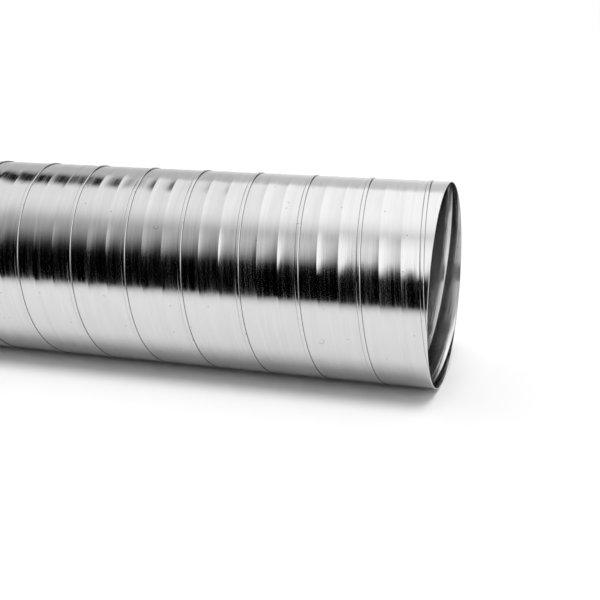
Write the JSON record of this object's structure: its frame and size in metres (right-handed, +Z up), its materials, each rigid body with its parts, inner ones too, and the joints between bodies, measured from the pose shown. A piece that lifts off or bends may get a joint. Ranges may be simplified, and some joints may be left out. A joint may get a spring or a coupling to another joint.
{
  "type": "spiral duct section",
  "caption": "Round galvanised steel ventilation duct wound from strip, with a helical lock seam standing proud outside, a plain bore and square-cut open ends.",
  "frame": {"origin": "on the floor, under the middle of the lying duct", "axes": "+X along the duct towards the open end that the picture shows, +Z up"},
  "size_m": [1.5, 0.4048, 0.4047],
  "materials": {
    "galvanised_steel": "bright galvanised, faintly streaked along the winding"
  },
  "bodies": {
    "root": {"spiral_duct": "galvanised_steel"}
  },
  "joints": []
}
